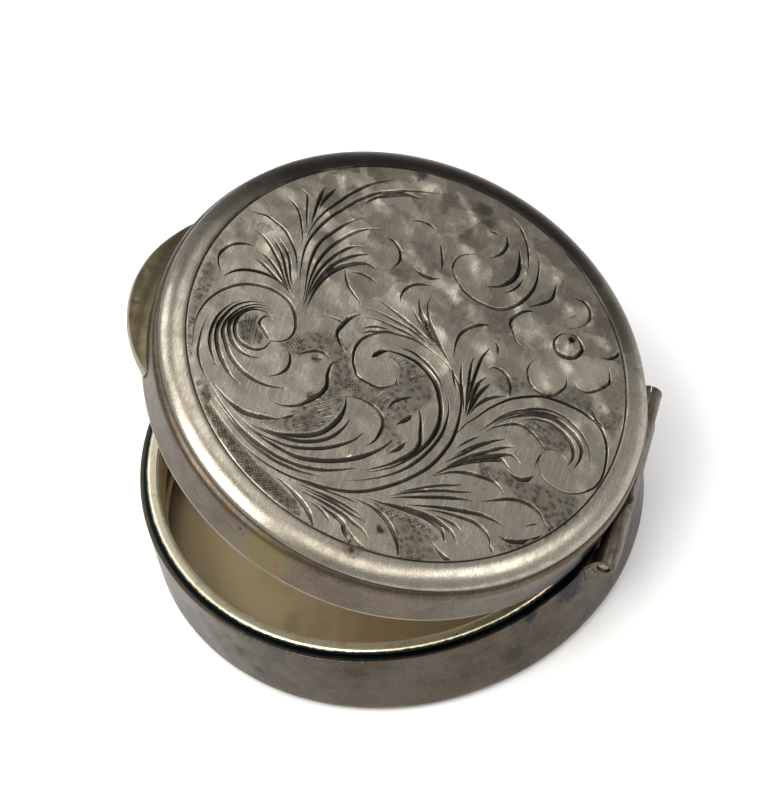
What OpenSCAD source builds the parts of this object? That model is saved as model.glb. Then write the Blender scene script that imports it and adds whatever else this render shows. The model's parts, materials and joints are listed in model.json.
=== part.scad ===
// Round hinged pill box: a pressed cup with an inner lip, and a lid of a pressed cap on a skirt ring.
// Origin at the centre of the underside, +Z up, hinge at +Y, thumb tab at -Y.

/* [Base] */
// Outer diameter of the base
base_d = 38; // [34:0.5:44]
// Height of the base wall
base_h = 7; // [6:0.1:10]
// Thickness of the wall and floor
wall_t = 0.55; // [0.4:0.05:0.7]
// Outer rounding between wall and floor
foot_r = 1; // [0.7:0.1:1.4]

/* [Lip] */
// Width of the lip ring
lip_w = 1; // [0.7:0.05:1.2]
// Height that the lip stands above the wall
lip_up = 0.5; // [0.4:0.05:0.7]
// Depth of the lip ring below the top of the wall
lip_down = 2.4; // [1.6:0.1:3.2]

/* [Lid] */
// Height of the lid from the skirt's edge to its top
lid_h = 4.94; // [4.4:0.02:6.5]
// Step from the base wall in to the lid's skirt
lid_step = 0.18; // [0.15:0.01:0.25]
// Thickness of the flat top
cap_t = 0.45; // [0.35:0.05:0.5]
// Radius of the rolled bead at the cap's rim
bead_r = 0.6; // [0.5:0.05:0.7]
// Rounding of the skirt's upper edge, below the bead
skirt_r = 0.7; // [0.5:0.05:0.8]
// Width of the plain rim outside the engraved border line
rim_w = 2.22; // [1.8:0.02:3]

/* [Hinge] */
// Length of the whole hinge
hinge_len = 16.2; // [14:0.2:18]
// Length of the lid's middle knuckle
mid_len = 5.3; // [4.5:0.1:6]
// Outer radius of the knuckles
tube_r = 0.9; // [0.85:0.01:1]
// Radius of the hinge pin
pin_r = 0.5; // [0.4:0.02:0.55]
// Thickness of the strip that the knuckles are rolled from
leaf_t = 0.3; // [0.25:0.05:0.4]

/* [Thumb tab] */
// Reach of the tab beyond the base wall
tab_out = 1.6; // [1.2:0.1:2.2]
// Radius of the tab's crescent outline
tab_arc = 10; // [8:0.5:11]
// Thickness of the tab at its tip
tab_t = 0.35; // [0.3:0.05:0.5]

/* [Pose] */
// Opening of the lid
lid_open = 24; // [0:1:100]

/* [Hidden] */
$fn = 96;

base_r = base_d / 2;
wall_in_r = base_r - wall_t;
lip_in_r = wall_in_r - lip_w;
lip_round = 0.3;              // rounding of the lip's two top edges

seam_gap = 0.08;              // gap between the wall's top and the closed lid
lid_z = base_h + seam_gap;
lid_top = lid_z + lid_h;
skirt_out_r = base_r - lid_step;
skirt_edge_t = 0.24;          // thin lower edge that closes around the lip
skirt_t = 0.9;                // thickness of the skirt ring above its thin edge
skirt_in_r = skirt_out_r - skirt_t;
rebate_gap = 0.15;            // clearance of the lid above the lip
rebate_z = base_h + lip_up + rebate_gap;
bead_in = 0.27;               // step from the skirt in to the bead
bead_c = skirt_out_r - bead_in - bead_r;
bead_z = lid_top - bead_r;
crease_drop = 0.52;           // depth of the crease below the bead's centre
skirt_top = bead_z - crease_drop;
rim_lap = 0.3;                // lap of the cap's rim inside the skirt
groove_r = skirt_out_r - rim_w;
groove_d = 0.12;              // depth, and half width, of the border line
skin = 0.01;                  // overrun of the border line's cutter above the top

hinge_in = 0.3;               // hinge axis inside the base wall's outer face
hinge_up = 0.45;              // hinge axis above the top of the base wall
hinge_y = base_r - hinge_in;
hinge_z = base_h + hinge_up;
knuckle_gap = 0.08;           // end play between knuckles
swing_gap = 0.15;             // clearance of the lid's knuckle in the base
notch_gap = 0.4;              // clearance of the lid around the base's knuckles
pin_gap = 0.03;               // running clearance of the pin in the lid's knuckle
side_len = (hinge_len - mid_len) / 2 - knuckle_gap;
side_x = mid_len / 2 + knuckle_gap;
bearer_out = 0.72;            // reach of the base bearer beyond the hinge axis
tab_up = 0.82;                // underside of the tab above the skirt's edge
tab_z = lid_z + tab_up;
dish_r = 2.4;                 // radius of the tab's dished upper face
slack = 1;                    // overrun of a cutting solid

// A ring or disc about the box's own axis, from a half section.
module turned() { rotate_extrude($fn = 180) children(); }

// A cylinder along the hinge axis, from x1 to x2.
module rod(r, x1, x2) {
  translate([x1, hinge_y, hinge_z]) rotate([0, 90, 0]) cylinder(r = r, h = x2 - x1);
}

// A prism along the hinge axis whose section is drawn in (Y, Z) from the axis.
module bar(section, x1, x2) {
  translate([x1, hinge_y, hinge_z]) rotate([90, 0, 90]) linear_extrude(x2 - x1) polygon(section);
}

// A plain disc that stands for all that lies inside radius r.
module core(r) { translate([0, 0, -slack]) cylinder(r = r, h = lid_top + 2 * slack, $fn = 180); }

// The lid is drawn closed and swung up about the hinge axis.
module opened() {
  translate([0, hinge_y, hinge_z]) rotate([-lid_open, 0, 0])
    translate([0, -hinge_y, -hinge_z]) children();
}

// The seat for the hinge in the base: tight on its own knuckles, free around the lid's.
module base_seat() {
  rod(tube_r, -hinge_len / 2, hinge_len / 2);
  rod(tube_r + swing_gap, -side_x, side_x);
}

// The seat for the hinge in the lid: tight on its own knuckle, free around the base's.
module lid_seat() {
  rod(tube_r, -mid_len / 2, mid_len / 2);
  for (s = [-1, 1]) {
    x1 = s > 0 ? mid_len / 2 : -hinge_len / 2 - slack;
    rod(tube_r + notch_gap, x1, x1 + (hinge_len - mid_len) / 2 + slack);
  }
}

// Pressed cup: floor and wall in one sheet, rounded where they meet.
module base_cup() {
  inner_r = foot_r - wall_t;
  color([0.49, 0.45, 0.42]) difference() {
    turned() difference() {
      union() {
        square([base_r - foot_r, foot_r]);
        translate([0, foot_r]) square([base_r, base_h - foot_r]);
        translate([base_r - foot_r, foot_r]) circle(r = foot_r);
      }
      union() {
        translate([0, wall_t]) square([wall_in_r - inner_r, base_h]);
        translate([0, wall_t + inner_r]) square([wall_in_r, base_h]);
        translate([wall_in_r - inner_r, wall_t + inner_r]) circle(r = inner_r);
      }
      translate([-base_r, 0]) square([base_r, base_h]);
    }
    base_seat();
  }
}

// Lip ring inside the wall, round-edged above it, that the lid closes over.
module base_lip() {
  low = base_h - lip_down;
  top = base_h + lip_up;
  color([0.80, 0.76, 0.68]) difference() {
    turned() {
      translate([lip_in_r, low]) square([lip_w, top - lip_round - low]);
      translate([lip_in_r + lip_round, low]) square([lip_w - 2 * lip_round, top - low]);
      translate([lip_in_r + lip_round, top - lip_round]) circle(r = lip_round);
      translate([wall_in_r - lip_round, top - lip_round]) circle(r = lip_round);
    }
    base_seat();
  }
}

// Strip soldered to the wall below the knuckles; the open lid stops on its outer edge.
module base_bearer() {
  inside = -3;         // well within the wall, whose core is then taken out
  low = -2.05;         // lower edge
  low_out = 0.2;       // reach of the lower edge, before it slopes out to the face
  face_low = -1.5;     // lower and upper edges of the outer face
  face_top = -0.75;
  top = base_h - hinge_z;
  color([0.44, 0.40, 0.36]) difference() {
    bar([[inside, low], [low_out, low], [bearer_out, face_low], [bearer_out, face_top], [hinge_in, top],
         [inside, top]], -hinge_len / 2, hinge_len / 2);
    core(base_r);
    base_seat();
  }
}

// Knuckle rolled from strip, whose tail slopes down to the top of the wall.
module base_knuckle(x1) {
  slope = 44;          // angle of the tail below level
  tail = 1.62;         // length of the tail
  along = [-cos(slope), -sin(slope)];
  out = [-sin(slope), cos(slope)];
  start = tube_r * out;
  inner = (tube_r - leaf_t) * out;
  color([0.55, 0.51, 0.46]) difference() {
    union() {
      rod(tube_r, x1, x1 + side_len);
      difference() {
        bar([start, start + tail * along, inner + tail * along, inner], x1, x1 + side_len);
        core(base_r);
        translate([x1 - slack, 0, 0]) cube([side_len + 2 * slack, base_d, base_h]);
      }
    }
    rod(pin_r, x1 - slack, x1 + side_len + slack);
  }
}
module base_knuckle_left() { base_knuckle(-hinge_len / 2); }
module base_knuckle_right() { base_knuckle(side_x); }

// Pin held in the base's knuckles, a little short of their ends.
module hinge_pin() {
  inset = 0.15;        // depth of the pin's ends within the knuckles
  color([0.66, 0.62, 0.56]) rod(pin_r, -hinge_len / 2 + inset, hinge_len / 2 - inset);
}

// Pressed cap: flat top, bead rolled around its rim, engraved border line.
module lid_cap() {
  rim_in_r = skirt_in_r - rim_lap;
  color([0.60, 0.56, 0.52]) opened() turned() difference() {
    union() {
      translate([0, lid_top - cap_t]) square([bead_c, cap_t]);
      translate([rim_in_r, skirt_top]) square([bead_c - rim_in_r, lid_top - skirt_top]);
      intersection() {
        translate([bead_c, bead_z]) circle(r = bead_r);
        translate([rim_in_r, skirt_top]) square([base_r, lid_top - skirt_top]);
      }
    }
    polygon([[groove_r - groove_d, lid_top + skin], [groove_r, lid_top - groove_d],
             [groove_r + groove_d, lid_top + skin]]);
  }
}

// Skirt ring below the cap, rounded in to the crease at its top, thin where it covers the lip.
module lid_skirt() {
  color([0.57, 0.52, 0.48]) opened() difference() {
    turned() difference() {
      union() {
        translate([skirt_in_r, lid_z]) square([skirt_out_r - skirt_r - skirt_in_r, skirt_top - lid_z]);
        translate([skirt_in_r, lid_z]) square([skirt_out_r - skirt_in_r, skirt_top - skirt_r - lid_z]);
        translate([skirt_out_r - skirt_r, skirt_top - skirt_r]) circle(r = skirt_r);
      }
      square([skirt_out_r - skirt_edge_t, rebate_z]);
      square([skirt_in_r, lid_top]);
    }
    lid_seat();
  }
}

// Block soldered to the skirt above the middle knuckle; it meets the base bearer when fully open.
module lid_bearer() {
  out = 0.62;          // reach of the block beyond the hinge axis
  low = 0.9;           // its lower face, which meets the base bearer
  face_top = 1.75;     // top of its outer face, where it slopes in to the skirt
  top = 2.4;
  slope_in = 0.2;      // where the slopes above and below the block end
  inside = -0.9;       // well within the skirt, whose core is then taken out
  inside_low = 0.4;
  color([0.46, 0.42, 0.38]) opened() difference() {
    bar([[inside, inside_low], [slope_in, low], [out, low], [out, face_top], [slope_in, top], [inside, top]],
        -mid_len / 2, mid_len / 2);
    core(skirt_out_r);
    lid_seat();
  }
}

// Middle knuckle, which turns on the pin with the lid.
module lid_knuckle() {
  color([0.55, 0.51, 0.46]) opened() difference() {
    rod(tube_r, -mid_len / 2, mid_len / 2);
    rod(pin_r + pin_gap, -mid_len / 2 - slack, mid_len / 2 + slack);
  }
}

// Crescent thumb tab on the skirt, with a dished upper face.
module thumb_tab() {
  stock_h = 1.3;       // height of the stock that the tab is cut from
  stock_out = 2;       // stock beyond the tab's reach
  dish_in = 0.2;       // centre of the dish inside the tip
  tip_y = base_r + tab_out;
  dish_z = tab_z + tab_t + dish_r;
  color([0.38, 0.34, 0.27]) opened() intersection() {
    turned() difference() {
      translate([skirt_out_r, tab_z]) square([tab_out + stock_out, stock_h]);
      translate([tip_y - dish_in, dish_z]) circle(r = dish_r);
    }
    translate([0, tab_arc - tip_y, 0]) cylinder(r = tab_arc, h = lid_top, $fn = 180);
  }
}

base_cup();
base_lip();
base_bearer();
base_knuckle_left();
base_knuckle_right();
hinge_pin();
lid_cap();
lid_skirt();
lid_bearer();
lid_knuckle();
thumb_tab();
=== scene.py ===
import json
import math
import random

import bmesh
import bpy
from mathutils import Matrix, Vector, noise
from mathutils.geometry import delaunay_2d_cdt


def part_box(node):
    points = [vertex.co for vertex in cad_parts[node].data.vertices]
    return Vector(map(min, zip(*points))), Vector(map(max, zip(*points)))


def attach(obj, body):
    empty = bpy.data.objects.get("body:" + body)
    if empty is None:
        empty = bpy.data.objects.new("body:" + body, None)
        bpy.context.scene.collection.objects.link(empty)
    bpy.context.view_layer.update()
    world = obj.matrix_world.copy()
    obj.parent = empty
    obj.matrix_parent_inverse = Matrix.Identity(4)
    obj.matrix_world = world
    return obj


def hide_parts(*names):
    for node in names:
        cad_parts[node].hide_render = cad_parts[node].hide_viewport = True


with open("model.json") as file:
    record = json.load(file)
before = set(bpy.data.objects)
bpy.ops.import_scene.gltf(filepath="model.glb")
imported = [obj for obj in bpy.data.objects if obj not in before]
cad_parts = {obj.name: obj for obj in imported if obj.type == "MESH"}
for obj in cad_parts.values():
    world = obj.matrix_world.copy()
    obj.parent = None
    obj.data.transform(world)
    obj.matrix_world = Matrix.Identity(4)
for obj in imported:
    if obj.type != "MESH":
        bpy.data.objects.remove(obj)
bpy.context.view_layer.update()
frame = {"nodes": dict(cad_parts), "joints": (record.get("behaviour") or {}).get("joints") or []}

# ---------------------------------------------------------------------------------------------------
# The table, the light and the viewing point.
# The box stands on a sheet of white card, in a soft white tent with one brighter lamp to its side.

MM = 0.001


def linear(code):
    """A colour written as sRGB hex, turned into the linear values that the shader works in."""
    parts = [int(code[i:i + 2], 16) / 255 for i in (1, 3, 5)]
    return tuple(c / 12.92 if c <= 0.04045 else ((c + 0.055) / 1.055) ** 2.4 for c in parts) + (1.0,)


def add(tree, kind, wires=None, **settings):
    """Adds one node with its settings; wires gives each input a value or the output that feeds it."""
    made = tree.nodes.new("ShaderNode" + kind)
    for name, value in settings.items():
        setattr(made, name, value)
    for name, value in (wires or {}).items():
        if isinstance(value, bpy.types.NodeSocket):
            tree.links.new(value, made.inputs[name])
        else:
            made.inputs[name].default_value = value
    return made.outputs


scene = bpy.context.scene
scene.view_settings.view_transform = "Standard"

# White card: matt, with only the faintest cloud in its tone.
card = bpy.data.materials.new("matt_white_card")
card.use_nodes = True
card.node_tree.nodes.clear()
CLOUD_SIZE = 0.08
cloud = add(card.node_tree, "TexNoise", {"Scale": 1 / CLOUD_SIZE, "Detail": 2.0})
tone = add(card.node_tree, "Mix", {0: cloud["Fac"], 6: linear("#e4e4e5"), 7: linear("#e8e8e8")},
           data_type="RGBA")
matt = add(card.node_tree, "BsdfPrincipled", {"Base Color": tone[2], "Roughness": 0.9})
add(card.node_tree, "OutputMaterial", {"Surface": matt["BSDF"]})

CARD_HALF = 1.2
sheet = bmesh.new()
rim = [sheet.verts.new((CARD_HALF * x, CARD_HALF * y, 0)) for x, y in ((-1, -1), (1, -1), (1, 1), (-1, 1))]
sheet.faces.new(rim)
bmesh.ops.subdivide_edges(sheet, edges=sheet.edges[:], cuts=6, use_grid_fill=True)
floor_mesh = bpy.data.meshes.new("white_card")
sheet.to_mesh(floor_mesh)
sheet.free()
floor_mesh.materials.append(card)
floor = bpy.data.objects.new("white_card", floor_mesh)
scene.collection.objects.link(floor)

# The tent: an even pale dome, a little darker overhead.
tent = bpy.data.worlds.new("white_tent")
tent.use_nodes = True
tent.node_tree.nodes.clear()
facing = add(tent.node_tree, "TexCoord")
height = add(tent.node_tree, "SeparateXYZ", {"Vector": facing["Generated"]})
climb = add(tent.node_tree, "MapRange", {"Value": height["Z"], "From Min": 0.0, "From Max": 0.9})
shade = add(tent.node_tree, "Mix", {0: climb["Result"], 6: linear("#dcdcde"), 7: linear("#a9a8a7")},
            data_type="RGBA")
glow = add(tent.node_tree, "Background", {"Color": shade[2], "Strength": 1.14})
add(tent.node_tree, "OutputWorld", {"Surface": glow["Background"]})
scene.world = tent


def lamp(name, toward, distance, size, power, colour):
    """A square soft lamp in the given direction from the box, turned to face it."""
    light = bpy.data.lights.new(name, "AREA")
    light.size = size
    light.energy = power
    light.color = linear(colour)[:3]
    made = bpy.data.objects.new(name, light)
    made.location = Vector(toward).normalized() * distance
    made.rotation_euler = (-made.location).to_track_quat("-Z", "Y").to_euler()
    scene.collection.objects.link(made)


lamp("side_lamp", (0.42, -0.33, 0.85), 0.6, 0.44, 4.0, "#fffdf8")
lamp("near_lamp", (0.30, 0.46, 0.84), 0.6, 0.28, 0.7, "#fffdf8")
lamp("end_lamp", (-0.04, 0.80, 0.60), 0.6, 0.26, 0.9, "#ffffff")
lamp("tab_lamp", (-0.28, -0.64, 0.72), 0.6, 0.24, 0.7, "#ffffff")
lamp("top_lamp", (-0.33, 0.08, 0.93), 0.6, 0.34, 0.8, "#ffffff")

# The viewing point: above and beside the hinge's end, with a long lens, a little tilted.
AZIMUTH = math.radians(115.3)
ELEVATION = math.radians(52.4)
TILT = -0.2265
DISTANCE = 266.0 * MM
AIM = (-1.17 * MM, -7.67 * MM)
across = Vector((1, 0, 0))
falling = Vector((0, -math.sin(ELEVATION), -math.cos(ELEVATION)))
ahead = Vector((0, math.cos(ELEVATION), -math.sin(ELEVATION)))
right = math.cos(TILT) * across - math.sin(TILT) * falling
down = math.sin(TILT) * across + math.cos(TILT) * falling
turned = Matrix.Rotation(AZIMUTH, 3, "Z")
lens = bpy.data.cameras.new("viewing_point")
lens.lens = 153.5
lens.sensor_width = 36.0
lens.clip_start = 0.01
viewer = bpy.data.objects.new("viewing_point", lens)
spot = turned @ (AIM[0] * right + AIM[1] * down - DISTANCE * ahead)
turn = Matrix((turned @ right, turned @ -down, turned @ -ahead)).transposed()
viewer.matrix_world = Matrix.Translation(spot) @ turn.to_4x4()
scene.collection.objects.link(viewer)
scene.camera = viewer

# ---------------------------------------------------------------------------------------------------
# The base cup: pressed from one disc of silver, about half a millimetre thick, floor and wall in one.
# Its outside is worn dull by pockets; its inside keeps its old, browned gilding. The back of the wall
# is cut away for the hinge tube.

hinge = frame["joints"][0]
HINGE_Y = hinge["pos_m"][1] / MM
HINGE_Z = hinge["pos_m"][2] / MM
BASE_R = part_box("base_cup")[1].x / MM
BASE_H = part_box("base_cup")[1].z / MM
WALL_T = 0.55
FOOT_R = 1.0


def rounded(corners, steps=5):
    """An outline in millimetres from (r, z, rounding) corners, each rounding drawn as a short arc."""
    line = []
    for i, (x, y, bend) in enumerate(corners):
        here = Vector((x, y))
        if bend == 0:
            line.append(here)
            continue
        back = (Vector(corners[i - 1][:2]) - here).normalized()
        on = (Vector(corners[(i + 1) % len(corners)][:2]) - here).normalized()
        half = back.angle(on) / 2
        middle = here + (back + on).normalized() * bend / math.sin(half)
        first = here + back * bend / math.tan(half) - middle
        last = here + on * bend / math.tan(half) - middle
        for k in range(steps + 1):
            line.append(middle + first.lerp(last, k / steps).normalized() * bend)
    return line


def filled(line, longest):
    """The same closed outline with its long straight runs divided, so that dents can show on them."""
    out = []
    for a, b in zip(line, line[1:] + line[:1]):
        count = max(1, math.ceil((b - a).length / longest))
        out += [a.lerp(b, k / count) for k in range(count)]
    return out


def spun(line, steps=360):
    """A closed outline (r, z) spun about the box's axis into a mesh in millimetres."""
    form = bmesh.new()
    rings = []
    for i in range(steps):
        a = 2 * math.pi * i / steps
        rings.append([form.verts.new((p.x * math.cos(a), p.x * math.sin(a), p.y)) for p in line])
    for one, two in zip(rings, rings[1:] + rings[:1]):
        for k in range(len(line)):
            n = (k + 1) % len(line)
            form.faces.new((one[k], two[k], two[n], one[n]))
    bmesh.ops.remove_doubles(form, verts=form.verts, dist=1e-4)
    bmesh.ops.recalc_face_normals(form, faces=form.faces)
    return form


def hinge_rod(radius, x1, x2, sides=64):
    """A plain round bar along the hinge, used as a cutter."""
    bar = bmesh.new()
    ends = []
    for x in (x1, x2):
        ends.append([bar.verts.new((x, HINGE_Y + radius * math.cos(2 * math.pi * k / sides),
                                    HINGE_Z + radius * math.sin(2 * math.pi * k / sides)))
                     for k in range(sides)])
    for k in range(sides):
        n = (k + 1) % sides
        bar.faces.new((ends[0][k], ends[0][n], ends[1][n], ends[1][k]))
    bar.faces.new(ends[0][::-1])
    bar.faces.new(ends[1])
    bmesh.ops.recalc_face_normals(bar, faces=bar.faces)
    return bar


def piece(name, form):
    """Turns a mesh under construction into an object."""
    mesh = bpy.data.meshes.new(name)
    form.to_mesh(mesh)
    form.free()
    made = bpy.data.objects.new(name, mesh)
    scene.collection.objects.link(made)
    return made


def settled(made):
    """Fixes a piece's modifiers into its mesh."""
    made.data = bpy.data.meshes.new_from_object(made.evaluated_get(bpy.context.evaluated_depsgraph_get()))
    made.modifiers.clear()


def cut(made, *cutters):
    """Cuts bars out of a piece."""
    for form in cutters:
        tool = piece("cutter", form)
        step = made.modifiers.new("cut", "BOOLEAN")
        step.object = tool
        step.solver = "EXACT"
        settled(made)
        bpy.data.objects.remove(tool)


def dented(made, dents, wave=0.0, wave_size=6.0):
    """Presses small round dents (x, y, z, radius, depth) and a slow unevenness into a piece's surface."""
    mesh = made.data
    shifts = []
    for v in mesh.vertices:
        push = wave * noise.noise(v.co / wave_size)
        for x, y, z, radius, depth in dents:
            d = (v.co - Vector((x, y, z))).length / radius
            if d < 1:
                push -= depth * (1 - d * d) ** 2
        shifts.append(v.normal * push)
    for v, shift in zip(mesh.vertices, shifts):
        v.co += shift


OPENED = Matrix.Translation(Vector(hinge["pos_m"])) @ Matrix.Rotation(
    math.radians(-hinge["range_deg"][0]), 4, Vector(hinge["axis"])) @ Matrix.Translation(
    -Vector(hinge["pos_m"]))


def fitted(made, body, node, material, crisp=30):
    """Stores where each point lies on the shut box, in millimetres, for the finishes to use; brings the
    piece to metres and to its body's place; and puts it in for its CAD solid."""
    mesh = made.data
    place = mesh.attributes.new("place", "FLOAT_VECTOR", "POINT")
    place.data.foreach_set("vector", [c for v in mesh.vertices for c in v.co])
    mesh.transform(Matrix.Scale(MM, 4))
    if body == "lid":
        mesh.transform(OPENED)
    mesh.shade_smooth()
    if crisp:
        mesh.set_sharp_from_angle(angle=math.radians(crisp))
    mesh.materials.clear()
    mesh.materials.append(material)
    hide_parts(node)
    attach(made, body)


def patch(tree, place, centre, radius, ragged=0.35, grain=0.8, soft=0.5):
    """A blot's cover, 1 inside and 0 outside, used for stain colours and for painted shade and highlights: about a
    centre in millimetres, with a ragged edge.
    """
    reach = add(tree, "VectorMath", {0: place, 1: centre}, operation="DISTANCE")
    rag = add(tree, "TexNoise", {"Vector": place, "Scale": 1 / grain, "Detail": 4.0})
    far = add(tree, "Math", {0: rag["Fac"], 1: 2 * ragged * radius, 2: reach["Value"]},
              operation="MULTIPLY_ADD")
    return add(tree, "MapRange", {"Value": far["Value"], "From Min": radius * (1 + ragged + soft / 2),
                                  "From Max": radius * (1 + ragged - soft / 2)},
               interpolation_type="SMOOTHSTEP")["Result"]


SCRATCH_MM = 0.09   # real ones are a tenth of this; drawn coarse enough to show


def old_silver(name, clean, dull, dark, rough, patch_mm=4.0, dull_share=0.5, grain_mm=0.12, relief=0.012,
               rubbed="#c8c0b2"):
    """Sterling silver worn soft and grey: returns the material's tree, places, colour and roughness
    so that each piece can add its own stain colours and painted light before it is closed up."""
    made = bpy.data.materials.new(name)
    made.use_nodes = True
    tree = made.node_tree
    tree.nodes.clear()
    place = add(tree, "Attribute", attribute_name="place")["Vector"]
    clouds = add(tree, "TexNoise", {"Vector": place, "Scale": 1 / patch_mm, "Detail": 10.0, "Roughness": 0.74})
    cover = add(tree, "MapRange", {"Value": clouds["Fac"], "From Min": 0.62 - 0.4 * dull_share,
                                   "From Max": 0.85 - 0.4 * dull_share})
    colour = add(tree, "Mix", {0: cover["Result"], 6: linear(clean), 7: linear(dull)}, data_type="RGBA")[2]
    flecks = add(tree, "TexNoise", {"Vector": place, "Scale": 1 / (3 * grain_mm), "Detail": 6.0,
                                    "Roughness": 0.7})
    specks = add(tree, "MapRange", {"Value": flecks["Fac"], "From Min": 0.60, "From Max": 0.72,
                                    "To Max": 0.75})
    colour = add(tree, "Mix", {0: specks["Result"], 6: colour, 7: linear(dark)}, data_type="RGBA")[2]
    for turn_to, length in ((0.35, 2.6), (-0.9, 1.8), (1.4, 3.4)):
        laid = add(tree, "Mapping", {"Vector": place, "Rotation": (0.0, 0.5 * turn_to, turn_to),
                                     "Scale": (1 / length, 1 / SCRATCH_MM, 1 / SCRATCH_MM)})
        streaks = add(tree, "TexNoise", {"Vector": laid["Vector"], "Scale": 1.0, "Detail": 2.0})
        worn_in = add(tree, "MapRange", {"Value": streaks["Fac"], "From Min": 0.60, "From Max": 0.70,
                                         "To Max": 0.30})
        colour = add(tree, "Mix", {0: worn_in["Result"], 6: colour, 7: linear(rubbed)}, data_type="RGBA")[2]
    grain = add(tree, "TexNoise", {"Vector": place, "Scale": 1 / grain_mm, "Detail": 3.0})
    rough = add(tree, "MapRange", {"Value": clouds["Fac"], "From Min": 0.3, "From Max": 0.7,
                                   "To Min": rough - 0.06, "To Max": rough + 0.1})["Result"]
    bump = add(tree, "Bump", {"Height": grain["Fac"], "Strength": 0.5, "Distance": relief * MM})
    return made, tree, place, colour, rough, bump["Normal"]


def overlaid(tree, colour, covers):
    """Lays the stain colours, and the painted shade and highlights, over a colour, in order."""
    for cover, shade in covers:
        colour = add(tree, "Mix", {0: cover, 6: colour, 7: linear(shade)}, data_type="RGBA")[2]
    return colour


def closed_up(tree, colour, rough, normal):
    """Joins the colour, roughness and grain to the metal itself."""
    metal = add(tree, "BsdfPrincipled", {"Base Color": colour, "Roughness": rough, "Metallic": 1.0,
                                         "Normal": normal})
    add(tree, "OutputMaterial", {"Surface": metal["BSDF"]})


# Worn outside, browned gilding inside: the same sheet, so one finish that changes at the wall's top.
# Inside, the colour is a dark olive on the side and a paler, greener grey on the floor.
worn, tree, place, colour, rough, normal = old_silver("sterling_silver_worn_and_parcel_gilt", "#4f473e",
                                                      "#352f29", "#171411", 0.34, dull_share=0.5,
                                                      rubbed="#877e72")
spots = add(tree, "SeparateXYZ", {"Vector": place})
flat = add(tree, "CombineXYZ", {"X": spots["X"], "Y": spots["Y"]})
axis_reach = add(tree, "VectorMath", {0: flat["Vector"]}, operation="LENGTH")
inside = add(tree, "MapRange", {"Value": axis_reach["Value"], "From Min": BASE_R - 0.50,
                                "From Max": BASE_R - 0.53})
above_foot = add(tree, "MapRange", {"Value": spots["Z"], "From Min": 0.3, "From Max": 0.5})
hollow = add(tree, "Math", {0: inside["Result"], 1: above_foot["Result"]}, operation="MULTIPLY")
gilt_clouds = add(tree, "TexNoise", {"Vector": place, "Scale": 1 / 7.0, "Detail": 4.0})
gilt = add(tree, "Mix", {0: gilt_clouds["Fac"], 6: linear("#6d4f20"), 7: linear("#7a6030")},
           data_type="RGBA")[2]
on_floor = add(tree, "MapRange", {"Value": spots["Z"], "From Min": 1.4, "From Max": 0.6})
gilt = add(tree, "Mix", {0: on_floor["Result"], 6: gilt, 7: linear("#a39170")}, data_type="RGBA")[2]
# A near-black band on the wall's top beside the lip: painted shade of the narrow gap there, with some tarnish.
top_black = add(tree, "MapRange", {"Value": axis_reach["Value"], "From Min": BASE_R - 0.22,
                                   "From Max": BASE_R - 0.34})
at_top = add(tree, "MapRange", {"Value": spots["Z"], "From Min": BASE_H - 0.12, "From Max": BASE_H - 0.02})
wall_top_shade_and_tarnish = add(tree, "Math", {0: top_black["Result"], 1: at_top["Result"]}, operation="MULTIPLY")
brown_clouds = add(tree, "TexNoise", {"Vector": place, "Scale": 1 / 2.6, "Detail": 8.0, "Roughness": 0.7})
brown_cover = add(tree, "MapRange", {"Value": brown_clouds["Fac"], "From Min": 0.50, "From Max": 0.66,
                                     "To Max": 0.6})
colour = overlaid(tree, colour, [(brown_cover["Result"], "#4d3f2b")])
colour = overlaid(tree, colour, [(patch(tree, place, (x, y, z), radius, ragged=0.9, grain=0.4), shade)
                                for x, y, z, radius, shade in (
                                    (17.65, -7.0, 4.3, 0.55, "#231f1b"), (18.15, -5.6, 2.7, 0.4, "#25211d"),
                                    (17.3, -7.9, 5.3, 0.3, "#25211d"), (16.0, -10.3, 5.7, 0.3, "#2a2520"),
                                    (18.8, 2.5, 5.6, 0.8, "#3a3027"), (13.9, 13.0, 3.4, 0.9, "#35302a"),
                                    # The two near-black blots beside the hinge, under the skirt, are painted shade.
                                    (9.4, 16.6, 6.3, 1.3, "#171613"), (12.6, 14.2, 6.6, 0.5, "#1d1b18"))])
colour = add(tree, "Mix", {0: hollow["Value"], 6: colour, 7: gilt}, data_type="RGBA")[2]
colour = overlaid(tree, colour, ((wall_top_shade_and_tarnish["Value"], "#15201f"), ))
closed_up(tree, colour, rough, normal)

inner = BASE_R - WALL_T
cup_line = filled(rounded([(0, 0, 0), (BASE_R, 0, FOOT_R), (BASE_R, BASE_H, 0.09), (inner, BASE_H, 0.05),
                           (inner, WALL_T, FOOT_R - WALL_T), (0, WALL_T, 0)], steps=8), 0.7)
cup = piece("silver_cup", spun(cup_line))
dented(cup, [(17.6, -7.0, 4.3, 0.7, 0.06), (18.1, -5.6, 2.7, 0.5, 0.05), (17.3, -7.9, 5.2, 0.4, 0.04),
             (17.9, -6.4, 5.8, 0.4, 0.04), (18.6, -3.4, 1.4, 0.6, 0.05), (15.6, 10.9, 2.2, 0.5, 0.04)],
       wave=0.03)
HINGE_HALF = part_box("base_bearer")[1].x / MM
TUBE_R = 0.9
LID_KNUCKLE_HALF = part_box("lid_knuckle")[1].x / MM
cut(cup, hinge_rod(TUBE_R, -HINGE_HALF, HINGE_HALF), hinge_rod(TUBE_R + 0.15, -2.73, 2.73))
fitted(cup, "base", "base_cup", worn)

# ---------------------------------------------------------------------------------------------------
# The lip: a ring of silver soldered inside the wall, standing above it for the lid to close over.
# Rubbed bright on its rounded top; its outer side is black, partly with old polish and sulphide and partly with
# painted shade of the narrow gap beside the wall's top.

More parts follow.
